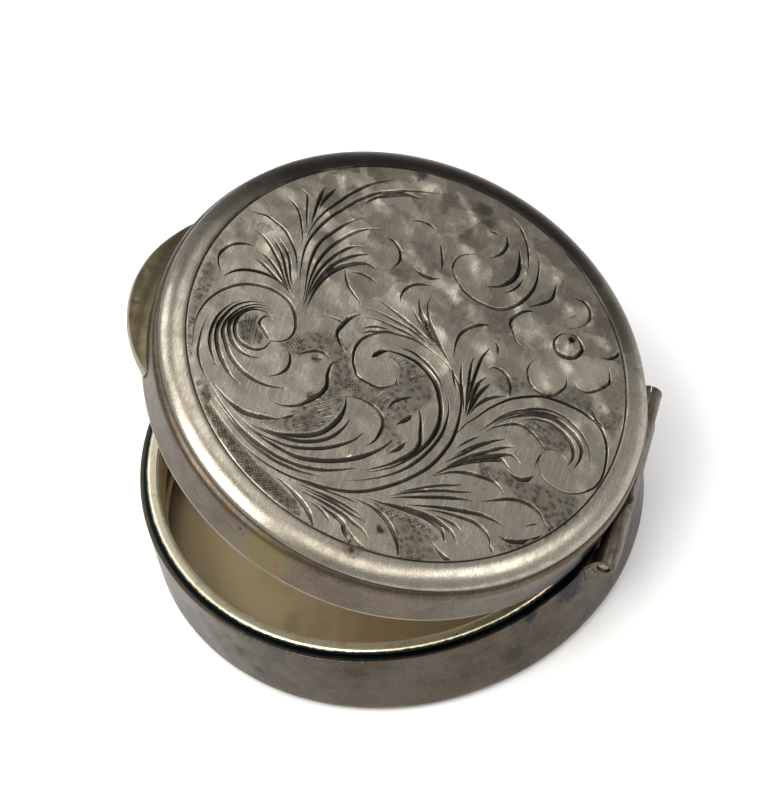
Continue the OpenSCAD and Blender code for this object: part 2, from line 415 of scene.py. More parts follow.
LIP_W = 1.0
LIP_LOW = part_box("base_lip")[0].z / MM
LIP_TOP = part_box("base_lip")[1].z / MM
LIP_ROUND = 0.3
lip_out = inner
lip_in = lip_out - LIP_W
lip_line = filled(rounded([(lip_in, LIP_LOW, 0), (lip_out, LIP_LOW, 0), (lip_out, LIP_TOP, LIP_ROUND),
                           (lip_in, LIP_TOP, LIP_ROUND)], steps=8), 0.4)
bright, tree, place, colour, rough, normal = old_silver("sterling_silver_rubbed_bright", "#cfc7ad",
                                                        "#988f72", "#3b3528", 0.30, patch_mm=2.2,
                                                        dull_share=0.35)
spots = add(tree, "SeparateXYZ", {"Vector": place})
flat = add(tree, "CombineXYZ", {"X": spots["X"], "Y": spots["Y"]})
axis_reach = add(tree, "VectorMath", {0: flat["Vector"]}, operation="LENGTH")
edge_rag = add(tree, "TexNoise", {"Vector": place, "Scale": 1 / 0.5, "Detail": 5.0})
ragged = add(tree, "Math", {0: edge_rag["Fac"], 1: 0.22, 2: axis_reach["Value"]}, operation="MULTIPLY_ADD")
# The black outer side: sulphide, with painted shade of the gap between lip and wall.
sulphide_and_gap_shade = add(tree, "MapRange", {"Value": ragged["Value"], "From Min": lip_out - 0.05,
                                    "From Max": lip_out + 0.05})
sulphide_and_shade_tone = add(tree, "Mix", {0: edge_rag["Fac"], 6: linear("#0d1514"), 7: linear("#1f302d")},
                data_type="RGBA")[2]
inner_dull = add(tree, "MapRange", {"Value": spots["Z"], "From Min": 7.1, "From Max": 6.6})
colour = overlaid(tree, colour, ((inner_dull["Result"], "#9c9076"), ))
colour = add(tree, "Mix", {0: sulphide_and_gap_shade["Result"], 6: colour, 7: sulphide_and_shade_tone}, data_type="RGBA")[2]
closed_up(tree, colour, rough, normal)
lip = piece("lip_ring", spun(lip_line))
dented(lip, [(17.2, -4.2, 7.5, 0.3, 0.03), (15.6, -8.6, 7.5, 0.35, 0.04), (17.4, 3.6, 7.5, 0.3, 0.03)],
       wave=0.02, wave_size=3.0)
cut(lip, hinge_rod(TUBE_R, -HINGE_HALF, HINGE_HALF), hinge_rod(TUBE_R + 0.15, -2.73, 2.73))
fitted(lip, "base", "base_lip", bright)

# ---------------------------------------------------------------------------------------------------
# The hinge: a bearer strip soldered to the wall, two knuckles rolled from strip on the base, one tube
# on the lid with its own bearer, and a wire pin peened over at its ends. All of it is dull silver.

SHUT = OPENED.inverted()


def from_solid(name, node, body):
    """A working copy of a CAD solid, in millimetres on the shut box."""
    form = bmesh.new()
    form.from_mesh(frame["nodes"][node].data)
    bmesh.ops.transform(form, matrix=SHUT if body == "lid" else Matrix.Identity(4), verts=form.verts)
    bmesh.ops.transform(form, matrix=Matrix.Scale(1 / MM, 4), verts=form.verts)
    bmesh.ops.remove_doubles(form, verts=form.verts, dist=1e-4)
    bmesh.ops.dissolve_limit(form, angle_limit=math.radians(1.0), verts=form.verts, edges=form.edges)
    return piece(name, form)


def soldered(made, grain=0.075, rounds=6):
    """Softens a block as solder does: every edge is filled or worn round."""
    step = made.modifiers.new("fill", "REMESH")
    step.mode = "VOXEL"
    step.voxel_size = grain
    step = made.modifiers.new("wear", "SMOOTH")
    step.factor = 0.5
    step.iterations = rounds
    settled(made)


dull, tree, place, colour, rough, normal = old_silver("sterling_silver_dull_hinge", "#5e564a", "#3b342c",
                                                      "#26201b", 0.34, patch_mm=1.6, dull_share=0.5,
                                                     rubbed="#8f877b")
closed_up(tree, colour, rough, normal)
for name, node, body in (("hinge_bearer", "base_bearer", "base"), ("lid_stop_block", "lid_bearer", "lid")):
    block = from_solid(name, node, body)
    soldered(block)
    for v in block.data.vertices:
        reach = v.co.xy.length
        taper = min(1.0, max(0.0, (abs(v.co.x) - 5.6) / 2.4)) if body == "base" else 0.0
        if reach > BASE_R:
            v.co.xy *= (BASE_R + (reach - BASE_R) * (1 - 0.75 * taper ** 2)) / reach
    fitted(block, body, node, dull, crisp=0)

SEAM = 0.07
for name, node, x1, x2 in (("knuckle_left", "base_knuckle_left", -8.3, -2.5),
                           ("knuckle_right", "base_knuckle_right", 2.5, 8.3)):
    knuckle = from_solid(name, node, "base")
    slit = bmesh.new()
    bmesh.ops.create_cube(slit, size=1.0)
    bmesh.ops.transform(slit, verts=slit.verts, matrix=Matrix.Translation((
        (x1 + x2) / 2, HINGE_Y, HINGE_Z)) @ Matrix.Rotation(math.radians(78), 4, "X") @ Matrix.Translation(
        (0, 0.75, 0)) @ Matrix.Diagonal((x2 - x1, 0.7, SEAM, 1)))
    cut(knuckle, slit)
    edge = knuckle.modifiers.new("rounded", "BEVEL")
    edge.width = 0.05
    edge.segments = 2
    edge.limit_method = "ANGLE"
    edge.angle_limit = math.radians(40)
    settled(knuckle)
    fitted(knuckle, "base", node, dull)


def tube(name, line, steps=72):
    """A closed outline (x, radius) spun about the hinge's axis."""
    form = spun([Vector((r, x)) for x, r in line], steps)
    bmesh.ops.transform(form, verts=form.verts, matrix=Matrix.Translation((0, HINGE_Y, HINGE_Z))
                        @ Matrix.Rotation(math.radians(90), 4, "Y"))
    bmesh.ops.recalc_face_normals(form, faces=form.faces)
    return piece(name, form)


PIN_R = 0.5
PIN_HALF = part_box("hinge_pin")[1].x / MM
half = LID_KNUCKLE_HALF
middle = tube("knuckle_middle", rounded([(-half, PIN_R + 0.03, 0.05), (half, PIN_R + 0.03, 0.05),
                                         (half, TUBE_R, 0.08), (-half, TUBE_R, 0.08)]))
fitted(middle, "lid", "lid_knuckle", dull)

# Drawn wire, burnished where it was peened: the brightest dot on the hinge.
wire, tree, place, colour, rough, normal = old_silver("silver_wire_drawn_and_peened", "#9a9080", "#6d6355",
                                                      "#4a4038", 0.28, patch_mm=0.8, grain_mm=0.06)
closed_up(tree, colour, rough, normal)
pin_line = rounded([(-PIN_HALF, 0, 0), (-PIN_HALF, 0.38, 0.12), (-PIN_HALF + 0.12, PIN_R - 0.01, 0.1),
                    (PIN_HALF - 0.12, PIN_R - 0.01, 0.1), (PIN_HALF, 0.38, 0.12), (PIN_HALF, 0, 0)], 3)
pin = tube("hinge_pin_wire", pin_line)
fitted(pin, "base", "hinge_pin", wire)

# ---------------------------------------------------------------------------------------------------
# The lid's skirt: a ring turned in to a soft roll at its top, and thinned below where it covers the lip.
# Satin grey silver, grainy from handling, with a bright thin lower edge, a few stains, painted shade below the crease
# and a painted shadow beside the hinge.

SKIRT_R = 18.82
SKIRT_IN = 17.92
LID_Z = 7.08
CREASE_Z = 10.90
skirt_line = filled(rounded([(SKIRT_IN, 7.65, 0), (SKIRT_R - 0.24, 7.65, 0), (SKIRT_R - 0.24, LID_Z, 0.05),
                             (SKIRT_R, LID_Z, 0.08), (SKIRT_R, CREASE_Z, 0.7), (SKIRT_IN, CREASE_Z, 0)],
                            steps=9), 0.6)
satin, tree, place, colour, rough, normal = old_silver("sterling_silver_satin_from_handling", "#574e42",
                                                       "#423a30", "#1f1b16", 0.33, patch_mm=3.0,
                                                       dull_share=0.45, grain_mm=0.14, relief=0.02,
                                                       rubbed="#978e80")
spots = add(tree, "SeparateXYZ", {"Vector": place})
edge_light = add(tree, "MapRange", {"Value": spots["Z"], "From Min": LID_Z + 0.28, "From Max": LID_Z + 0.12,
                                    "To Max": 0.8})
# Darker just below the crease: painted shade, with some tarnish in it.
crease_shade_and_tarnish = add(tree, "MapRange", {"Value": spots["Z"], "From Min": CREASE_Z - 0.30,
                                     "From Max": CREASE_Z - 0.10, "To Max": 0.55})
olive = patch(tree, place, (18.1, -5.2, 8.9), 1.9, ragged=0.7, grain=1.1, soft=1.0)
olive_thin = add(tree, "Math", {0: olive, 1: 0.75}, operation="MULTIPLY")
brown_low = patch(tree, place, (18.8, 0.6, 8.4), 1.3, ragged=0.8, grain=0.7, soft=0.9)
brown_thin = add(tree, "Math", {0: brown_low, 1: 0.5}, operation="MULTIPLY")
brown_clouds = add(tree, "TexNoise", {"Vector": place, "Scale": 1 / 2.2, "Detail": 8.0, "Roughness": 0.7})
brown_cover = add(tree, "MapRange", {"Value": brown_clouds["Fac"], "From Min": 0.50, "From Max": 0.66,
                                     "To Max": 0.55})
colour = overlaid(tree, colour, ((brown_cover["Result"], "#57452f"), (edge_light["Result"], "#958c7d"), (olive_thin["Value"], "#635a30"),
                                (brown_thin["Value"], "#4f3f30"),
                                (patch(tree, place, (18.35, -4.2, 8.5), 0.22, grain=0.3), "#7c3a35"),
                                (patch(tree, place, (17.3, -7.5, 9.8), 0.16, grain=0.3), "#2c2823"),
                                # This near-black blot beside the hinge is a painted shadow.
                                (patch(tree, place, (9.0, 16.5, 7.6), 1.5, ragged=0.8, soft=0.9), "#191814"),
                                (crease_shade_and_tarnish["Result"], "#3a332e")))
closed_up(tree, colour, rough, normal)
skirt = piece("lid_skirt_ring", spun(skirt_line))
dented(skirt, [(18.4, -4.4, 8.2, 0.4, 0.03), (16.2, -9.6, 8.6, 0.5, 0.03), (17.9, 5.8, 9.0, 0.5, 0.02)],
       wave=0.025, wave_size=5.0)
KNUCKLE_FREE = TUBE_R + 0.4
cut(skirt, hinge_rod(TUBE_R, -2.65, 2.65), hinge_rod(KNUCKLE_FREE, 2.65, 9.1), hinge_rod(KNUCKLE_FREE, -9.1, -2.65))
fitted(skirt, "lid", "lid_skirt", satin)

# ---------------------------------------------------------------------------------------------------
# The thumb tab: a crescent cut from thick strip and dished on top for the thumb, soldered to the skirt.
# Brown with tarnish that nobody polishes out of the hollow; its thin edge is rubbed bright.

TAB_LOW = 7.90
TAB_ARC = 10.0
TAB_TIP = 20.60
TAB_T = 0.35
DISH_R = 2.4
TAB_STEPS = 120
brown, tree, place, colour, rough, normal = old_silver("sterling_silver_browned_in_the_dish", "#564d3c",
                                                       "#40382a", "#1d1913", 0.34, patch_mm=1.6,
                                                       dull_share=0.5, rubbed="#665d4b")
tip_reach = add(tree, "VectorMath", {0: place, 1: (0.0, TAB_ARC - TAB_TIP, TAB_LOW)}, operation="SUBTRACT")
tip_parts = add(tree, "SeparateXYZ", {"Vector": tip_reach["Vector"]})
tip_flat = add(tree, "CombineXYZ", {"X": tip_parts["X"], "Y": tip_parts["Y"]})
from_arc = add(tree, "VectorMath", {0: tip_flat["Vector"]}, operation="LENGTH")
rubbed = add(tree, "MapRange", {"Value": from_arc["Value"], "From Min": TAB_ARC - 0.16,
                                "From Max": TAB_ARC - 0.05})
closed_up(tree, overlaid(tree, colour, ((rubbed["Result"], "#8f8775"), )), rough, normal)

form = bmesh.new()
sections = []
TAB_SPREAD = math.radians(25.0)
for i in range(TAB_STEPS + 1):
    a = -math.pi / 2 + TAB_SPREAD * (2 * i / TAB_STEPS - 1)
    towards = Vector((math.cos(a), math.sin(a)))
    to_middle = Vector((0, TAB_ARC - TAB_TIP))
    along = towards.dot(to_middle)
    out = along + math.sqrt(TAB_ARC ** 2 - to_middle.length_squared + along ** 2)
    if out < SKIRT_R + 0.06:
        continue
    start = SKIRT_R - 0.06
    ring = []
    for k in range(13):
        r = start + (out - 0.1 - start) * k / 12
        hollow_z = TAB_LOW + TAB_T + DISH_R - math.sqrt(max(0.0, DISH_R ** 2 - (r - TAB_TIP + 0.2) ** 2))
        ring.append((r, min(hollow_z, TAB_LOW + 1.3)))
    tip_z = ring[-1][1]
    ring += [(out - 0.03, tip_z - 0.02), (out, tip_z - 0.10), (out, TAB_LOW + 0.10), (out - 0.04, TAB_LOW + 0.03)]
    ring += [(start + (out - 0.1 - start) * k / 6, TAB_LOW) for k in range(6, -1, -1)]
    sections.append([form.verts.new((towards.x * r, towards.y * r, z)) for r, z in ring])
for one, two in zip(sections, sections[1:]):
    for k in range(len(one)):
        n = (k + 1) % len(one)
        form.faces.new((one[k], one[n], two[n], two[k]))
form.faces.new(sections[0][::-1])
form.faces.new(sections[-1])
bmesh.ops.recalc_face_normals(form, faces=form.faces)
tab = piece("thumb_crescent", form)
dented(tab, [(1.4, -20.0, 8.3, 0.4, 0.04), (-2.0, -19.8, 8.3, 0.5, 0.03)], wave=0.03, wave_size=1.5)
fitted(tab, "lid", "thumb_tab", brown, crisp=50)

# ---------------------------------------------------------------------------------------------------
# The lid's cap: a disc pressed with a deep rim and a bead rolled round it. Its top is engraved by hand
# with four scrolls, their leaves and a flower, and the ground between them is hatched or hammered.
# Each cut is a tapering V that one stroke of the graver leaves; tarnish lies in the bottom of it.

LID_TOP = 12.02
CAP_T = 0.45
BORDER_R = 16.6
RIM_IN = 17.62

# Every cut is its widest width, then the points (x, y) that it runs through, in millimetres.
TOP_SCROLL = (
    (.18, 5.1, 4.75, 3.75, 5.3, 2.75, 5.95, 1.5, 6.75, .25, 7.9, -.5, 9, -1, 10.1, -1.15, 11.3, -1.1, 12.6,
     -.8, 13.9, -.3, 14.8, .4, 15.4, 1.5, 15.85, 3.1, 16, 4.4, 15.8, 5.4, 15.1, 6, 14.1, 6.05, 13.1,
     5.75, 12.1, 5.1, 11.45, 4.25, 11.2, 3.4, 11.4, 3, 12, 3.1, 12.7, 3.6, 13.4),
    (.26, 3.7, 13.9, 2.8, 14.1, 1.9, 13.9, 1, 13, .55, 12, .45, 11, .7, 10, 1.3, 8.9, 2.1, 7.9, 3, 7.2),
    (.24, 3.65, 13.4, 2.9, 13.55, 2, 13.2, 1.3, 12.4, .95, 11.4, .95, 10.6, 1.2, 9.8, 1.9, 8.8),
    (.16, 2.8, 14.8, 1.8, 14.5, .9, 13.7, .2, 12.7, -.1, 11.5, 0, 10.5, .5, 9.3, 1.2, 8.3, 2.2, 7.4, 3.8, 6.6),
    (.2, .25, 12.3, .2, 11.2, .4, 10.2, .9, 9, 1.7, 8, 2.7, 7.15, 4, 6.3),
    (.22, -3.2, 5.35, -2.3, 5.05, -1, 4.95, .5, 4.95, 2, 5.05, 3.2, 5.15),
    (.2, -2.2, 4.45, -1, 4.5, .5, 4.7, 2, 4.95, 3.1, 5.1),
    (.18, -1.2, 3.75, 0, 4, 1, 4.35, 2, 4.75, 3, 5.05),
    (.14, -.5, 3.2, .5, 3.6, 1.2, 4), (.24, -.8, 5.75, -.2, 5.4, .7, 5.25, 2, 5.25, 3, 5.2),
    (.24, -.35, 6.2, .3, 5.8, 1.2, 5.5, 2.3, 5.35, 3.1, 5.2), (.22, .2, 7.4, .5, 6.8, 1, 6.2, 1.8, 5.7, 2.8, 5.35),
    (.2, 0, 7.85, -.8, 7.7, -1.5, 7.3, -1.85, 6.7, -1.8, 6, -1.3, 5.5),
    (.2, -5.3, 5.1, -5.1, 4.4, -4.5, 3.6, -3.7, 3.05, -2.8, 2.9, -1.8, 3, -1, 3.05),
    (.14, -3, 6.1, -3.8, 5.9, -4.1, 5.4))
RIGHT_LEAVES = (
    (.18, 3.1, 11.3, 2.5, 10.5, 2.05, 9.7, 2.05, 8.9, 2.4, 8.2, 3, 7.4, 3.9, 6.7),
    (.1, 3.6, 11.2, 4.6, 11.05, 5.2, 11.1), (.28, 5.8, 11.1, 6.25, 10.7, 6.4, 10.2, 6.3, 9.6, 6.05, 9.2),
    (.3, 4.95, 9.7, 4.75, 9.1, 5, 8.5, 5.5, 7.6, 6.4, 6.3, 7.5, 5.2, 8.9, 4),
    (.32, 5.75, 9.1, 5.45, 8.6, 5.6, 8, 6, 7.2, 6.7, 6.2, 7.6, 5.3),
    (.22, 4.1, 9.1, 4.4, 8.4, 5, 7.6, 5.8, 6.6, 6.8, 5.6, 7.9, 4.7),
    (.2, 3.7, 8.3, 4.3, 7.4, 5.2, 6.5, 6.3, 5.6, 7.6, 4.5), (.14, 4.4, 7.1, 5.2, 6.3, 6, 5.6, 6.7, 5.1),
    (.14, 4.2, 6.5, 5, 5.8, 6, 5.1),
    (.24, 8, 9.4, 7.6, 8.9, 7.35, 8.2, 7.4, 7.4, 7.5, 6.5, 7.8, 5.6, 8.3, 4.8, 9, 4),
    (.24, 9, 12.75, 8.5, 12.3, 8.15, 11.5, 8.1, 10.6, 8.4, 9.7, 8.9, 8.8, 9.5, 7.8),
    (.1, 9.4, 12.4, 9.8, 11.8, 10.1, 11.4), (.28, 10.9, 12.1, 11.35, 11.5, 11.6, 10.9, 11.65, 10.4, 11.45, 9.7),
    (.16, 10.9, 12.1, 10.3, 12.9, 9.6, 13.4, 9, 12.75),
    (.26, 10.6, 10, 10.45, 9.2, 10.4, 8.3, 10.6, 7.3, 10.8, 6.3, 11.1, 5.2, 11.5, 4, 11.9, 2.8),
    (.2, 8.9, 7.2, 9.3, 6.2, 9.6, 5.3, 10.1, 4.2, 10.8, 2.9, 11.4, 2, 11.9, 1.3),
    (.22, 9.6, 7.3, 9.8, 6.5, 10.2, 5.3, 10.7, 4.1, 11.3, 2.7, 11.9, 1.5),
    (.18, 8.6, 6.4, 8.9, 5.8, 9.3, 4.9, 9.9, 3.9, 10.6, 2.9, 11.3, 1.9),
    (.22, 12.6, 9.5, 12, 9.3, 11.5, 8.7, 11.2, 7.9, 11.2, 7, 11.3, 6, 11.5, 5, 11.8, 4),
    (.14, 13.1, 9.9, 12.7, 9.6, 12.4, 9.35), (.26, 14.9, 7.5, 14.85, 6.8, 14.5, 6.1, 14.1, 5.7),
    (.34, 13.5, 6.3, 12.8, 5.9, 12.4, 5.2, 12.2, 4.3, 12.2, 3.2, 12.3, 2.2, 12.45, 1.2, 12.4, 0),
    (.24, 13.2, 7.1, 12.7, 6.7, 12.4, 6, 12.1, 5.1, 12, 4, 12, 2.8), (.18, 12.2, 7.2, 11.95, 6.5, 11.85, 5.7, 11.8, 4.9),
    (.26, 16.2, 3.5, 15.2, 3.2, 14.3, 2.6, 13.6, 1.9, 13.1, .9, 12.95, 0, 12.9, -1.2),
    (.22, 15.6, 1.1, 15.1, .5, 14.8, -.3, 14.5, -1, 14.2, -2.2, 14, -3.5, 13.9, -5),
    (.18, 14.4, .4, 14.2, -.6, 13.9, -1.8, 13.75, -3.2, 13.6, -4.6), (.18, 14, .1, 13.8, -.8, 13.6, -2, 13.5, -3.6, 13.4, -5),
    (.14, 13.2, -.1, 13.1, -1.5, 13.15, -3, 13.2, -4.5, 13.2, -5.5),
    (.26, 16.3, -.2, 15.8, -.65, 15.2, -.9, 14.9, -1.4, 14.7, -2, 14.3, -3.2), (.14, 15.5, -1.8, 15, -2.3, 14.7, -2.9, 14.4, -3.8),
    (.18, 16.4, 1.1, 16.3, .6, 15.9, 0, 15.3, -.6),
    (.26, 16.3, -2.8, 16, -3, 15.3, -3.5, 14.7, -4.2, 14.2, -5, 13.8, -5.8, 13.5, -6.6))
MIDDLE_SCROLL = (
    (.22, -1, 2.1, -.5, 2.9, .5, 3.9, 1.7, 4.5, 3.2, 4.75, 5, 4.75, 6.5, 4.4, 8, 3.8, 9.3, 2.9, 10.5, 1.8, 11.5, .6,
     12.2, -.5, 12.6, -1.5, 12.9, -2.8, 13, -4, 13.1, -5.5, 12.9, -7, 12.5, -8.4, 11.9, -9.7, 11, -11, 10, -12.2, 9, -13.2),
    (.18, -1, 2.1, -1.4, 1, -1.65, 0, -1.6, -1.2, -1.4, -2.2, -.8, -3.1, 0, -3.75, 1, -4, 2, -3.85, 2.7, -3.5,
     3.1, -3.2, 3.35, -2.3, 3.4, -1.5, 3, -.8, 2.5, -.4, 1.8, -.45, 1.1, -.6, .8, -1.1),
    (.3, 1.1, -2.6, .5, -2.2, .1, -1.6),
    (.3, .1, -1.6, 0, -.5, .1, .5, .5, 1.5, 1.2, 2.3, 2.2, 2.9, 3.3, 3.3, 4.5, 3.45, 6, 3.2, 7.2, 2.7, 8.2, 2.1,
     9.2, 1.3, 10, .3, 10.7, -.8),
    (.2, 2, 3.5, 3, 3.85, 4.2, 3.95, 5.5, 3.8, 7, 3.3, 8.5, 2.5, 9.7, 1.5, 10.6, .4, 11.3, -.7, 11.9, -2),
    (.16, -.5, -.9, -.55, .1, -.2, 1.2, .4, 2.1, 1.2, 2.8, 2.2, 3.3),
    (.26, 3.9, 1.8, 4.8, 2.15, 5.8, 2.4, 6.6, 2.55, 7.5, 2.3, 8.3, 1.7, 9.2, .9, 10, -.1, 10.5, -.9),
    (.28, 4.6, 1.4, 5.1, 1.1, 5.9, .5), (.24, 7, 1.55, 7.7, 1.2, 8.4, .6),
    (.18, 3.1, 1.1, 3.4, .6, 3.9, 0, 4.5, -.3, 5.1, -.45),
    (.3, 7.3, .55, 8.1, .1, 9, -.7, 9.9, -1.8, 10.6, -3, 11.1, -4.3, 11.35, -5.6, 11.2, -7, 10.9, -8.3, 10.4, -9.5,
     9.7, -10.8),
    (.2, 8.4, -1, 7.7, -.55, 6.8, -.35, 6, -.4, 5.4, -.8, 5, -1.5, 4.85, -2.4, 5, -3.3, 5.2, -3.8),
    (.3, 5.1, -3.5, 5.9, -3.35, 6.9, -3.45, 7.9, -3.85, 8.8, -4.5, 9.4, -5.3, 9.8, -6.2, 10.1, -7.2, 10.2, -8.3,
     10.1, -9.3),
    (.24, 6.9, -2.75, 7.7, -3, 8.6, -3.5, 9.3, -4.2, 9.9, -5.2, 10.2, -6.3, 10.35, -7.5, 10.3, -8.8, 10, -9.8),
    (.22, 7.5, -1.55, 8.3, -2, 9.1, -2.8, 9.9, -3.9, 10.4, -5, 10.75, -6.2, 10.8, -7.6, 10.6, -8.9, 10.2, -9.9),
    (.24, 10.5, -1.3, 11.1, -2.3, 11.6, -3.4, 11.9, -4.6, 12, -5.8, 11.85, -7.2, 11.4, -8.6, 10.8, -9.9, 10, -11.1,
     9.2, -12, 8.2, -13),
    (.22, 12.2, -3.6, 12.4, -4.8, 12.4, -6, 12.2, -7.3, 11.7, -8.7, 11, -10, 10.1, -11.3, 9.2, -12.4),
    (.26, 2.7, -5, 2.9, -5.25, 3.8, -5.3, 4.8, -5.1, 5.6, -5.3, 6.3, -5.75, 7, -6.3, 7.5, -6.9, 7.75, -7.6,
     7.75, -8.3, 7.6, -8.9),
    (.18, 2.7, -5.5, 2.35, -5.8, 2.3, -6.4, 2.5, -6.9, 3, -7.5, 3.6, -7.8),
    (.18, 3.2, -8.6, 3.4, -8.35, 4, -8.15, 4.7, -8.2, 5.3, -8.55, 5.7, -9, 6, -9.5), (.18, 8.2, -6.6, 8.6, -7.1, 9, -7.6),
    (.32, 9, -7.6, 9.2, -8.4, 9.4, -9.2, 9.45, -10.1, 9.2, -11, 8.8, -11.8, 8.2, -12.6),
    (.22, 5.9, -5.6, 6.2, -5.9, 6.3, -6.2), (.22, 2.9, -6.2, 3, -6.5, 3.2, -6.8))
LOWER_SCROLL = (
    (.2, 3, -10, 2.7, -9.2, 2.1, -8.7, 1.3, -8.55, .3, -8.8, -.5, -9.3, -.95, -9.9, -1.25, -11, -1.2, -12, -.9, -13,
     -.3, -13.9, .5, -14.6, 1.5, -15.15, 2.6, -15.45, 3.8, -15.5, 5, -15.3, 6, -15.1),
    (.18, 3, -10, 2.6, -10.4, 2.2, -10.8, 1.9, -11.1, 1.5, -11.1, 1.15, -10.9, 1.1, -10.4),
    (.22, 3.1, -9.95, 3.7, -10.2, 4.1, -10.7, 4.15, -11.4, 3.9, -12.1, 3.3, -12.6, 2.5, -12.75, 1.8, -12.6,
     1.2, -12.2, .85, -11.6, .8, -10.9, .95, -10.4),
    (.24, 4.7, -10.4, 4.85, -11, 4.7, -11.8, 4.2, -12.5, 3.4, -13, 2.5, -13.1, 1.7, -12.8, 1, -12.2, .6, -11.5, .5, -10.7),
    (.24, 6.35, -7.9, 6.55, -8.6, 6.65, -9.4, 6.55, -10.2, 6.3, -11, 5.9, -11.7, 5.3, -12.4, 4.6, -12.9, 3.7, -13.4,
     2.6, -13.4, 1.6, -13, .8, -12.3, .35, -11.4, .4, -10.6),
    (.26, 7.3, -11.1, 7, -11.8, 6.3, -12.5, 5.4, -13.2, 4.3, -13.7, 3.2, -13.85, 2.1, -13.6, 1.1, -13.1, .4, -12.2,
     .1, -11.2),
    (.2, 6.4, -13.2, 5.5, -13.8, 4.4, -14.15, 3.2, -14.2, 2.2, -14, 1.2, -13.5, .6, -12.9),
    (.14, 8, -13.2, 7.3, -13.9, 6.3, -14.5, 5.2, -14.75, 4, -14.85, 2.9, -14.8),
    (.18, -.8, 2.9, -1.8, 2, -2.9, 1.2, -4, .4, -5, .1, -6, .15), (.32, -1.8, 1.9, -2.8, 1, -3.8, 0, -4.7, -.5, -5.3, -.65),
    (.2, -2, 1.4, -2.9, .4, -3.6, -.4, -4.3, -.9),
    (.2, -1.9, 1.2, -2.5, 0, -3, -1.2, -3.4, -2.2, -3.75, -3.2, -3.8, -4),
    (.18, -1.7, 1.2, -2.2, 0, -2.5, -1.2, -2.7, -2.4, -2.8, -3.5, -2.7, -4.4),
    (.16, -1.75, .3, -2, -1, -2.1, -2.2, -2.05, -3.4, -1.8, -4.2), (.14, -1.7, -2, -1.5, -3, -1.15, -3.7, -.8, -4.1),
    (.14, -1.2, -2.8, -.9, -3.4, -.5, -4), (.24, -2, -4.5, -1.3, -5.1, -.7, -5.35, .1, -5.6, .8, -5.3, 1.3, -4.9, 1.6, -4.5),
    (.12, -.8, -5.3, -.85, -6, -.9, -6.8), (.16, -5.2, -6.5, -4.6, -6.3, -3.9, -5.9, -3.4, -5.3, -3, -4.8, -2.4, -4.6),
    (.16, -5.2, -4, -5.4, -5, -5.2, -6.2))
LEFT_STEMS = (
    (.3, -6.3, -4.4, -6.4, -5.2, -6, -6.1, -5.3, -6.9, -4.3, -7.6, -3.2, -8, -2, -8.2, -.6, -8.3),
    (.22, -7.2, -5.2, -6.9, -5.9, -6.2, -6.8, -5.2, -7.5, -4, -8, -2.8, -8.3, -1.2, -8.45),
    (.2, -7.8, -5.8, -7.3, -6.6, -6.4, -7.4, -5.2, -8, -3.8, -8.4, -2.2, -8.5, -.8, -8.5),
    (.2, -9.9, -4.7, -9.5, -5.6, -8.8, -6.6, -7.8, -7.4, -6.6, -8.1, -5.2, -8.55, -3.6, -8.7, -1.8, -8.6, -.5, -8.5),
    (.2, -10.3, -6.3, -9.8, -7, -8.9, -7.7, -7, -8.8, -5.5, -9.1, -4, -9.05, -2.4, -8.8, -.8, -8.6),
    (.2, -14.9, -1.5, -14.5, -3, -13.8, -4.5, -12.9, -5.9, -11.8, -7.1, -10.5, -8, -9, -8.9, -7.5, -9.5, -5.8, -9.8,
     -4, -9.6, -2.3, -9.2, -.8, -8.8),
    (.26, -13.9, -2.6, -13.7, -4, -13, -5.2, -12.2, -6.2, -11.2, -6.9),
    (.18, -14.8, -5, -13.5, -6.6, -12.2, -7.7, -10.6, -8.7, -9, -9.5, -7.4, -9.9, -5.8, -9.95),
    (.24, -11.8, -9.1, -10.6, -9.6, -9.4, -9.8), (.22, -11.4, -9.9, -10.5, -10, -9.2, -10, -7.8, -9.95),
    (.16, -10.6, -11.3, -10.2, -10.9, -9.4, -10.7, -8.3, -10.4, -7, -10),
    (.16, -9.5, -12.2, -9, -11.5, -8.2, -10.9, -7, -10.4, -5.9, -10),
    (.16, -7.1, -14.3, -7.2, -13.3, -6.9, -12.4, -6.4, -11.5, -5.7, -10.8, -4.8, -10.2, -3.6, -9.8, -2.2, -9.3),
    (.18, -5.6, -13.5, -5.2, -12.7, -3.9, -11.4, -3, -10.8, -2.2, -10.2, -1.5, -9.6),
    (.18, -5.5, -12.2, -4.8, -11.5, -3.9, -10.9, -2.9, -10.4, -1.9, -9.8, -1.2, -9.3),
    (.18, -5.6, -11.7, -4.9, -11, -4, -10.5, -2.9, -10.1, -1.9, -9.6),
    (.18, -3.9, -12.7, -3.7, -12.1, -3.1, -11.3, -2.4, -10.6, -1.7, -9.9, -1.2, -9.3),
    (.18, -3.3, -13, -3, -12.2, -2.5, -11.3, -2, -10.4, -1.5, -9.7),
    (.18, -.9, -14.7, -1.6, -14.1, -2.1, -13.2, -2.3, -12.1, -2.2, -11, -1.8, -10.1, -1.3, -9.4),
    (.18, -4.3, -13.3, -4.2, -14, -3.8, -14.8, -3.2, -15.3, -2.4, -15.55, -1.6, -15.3, -.8, -14.8))
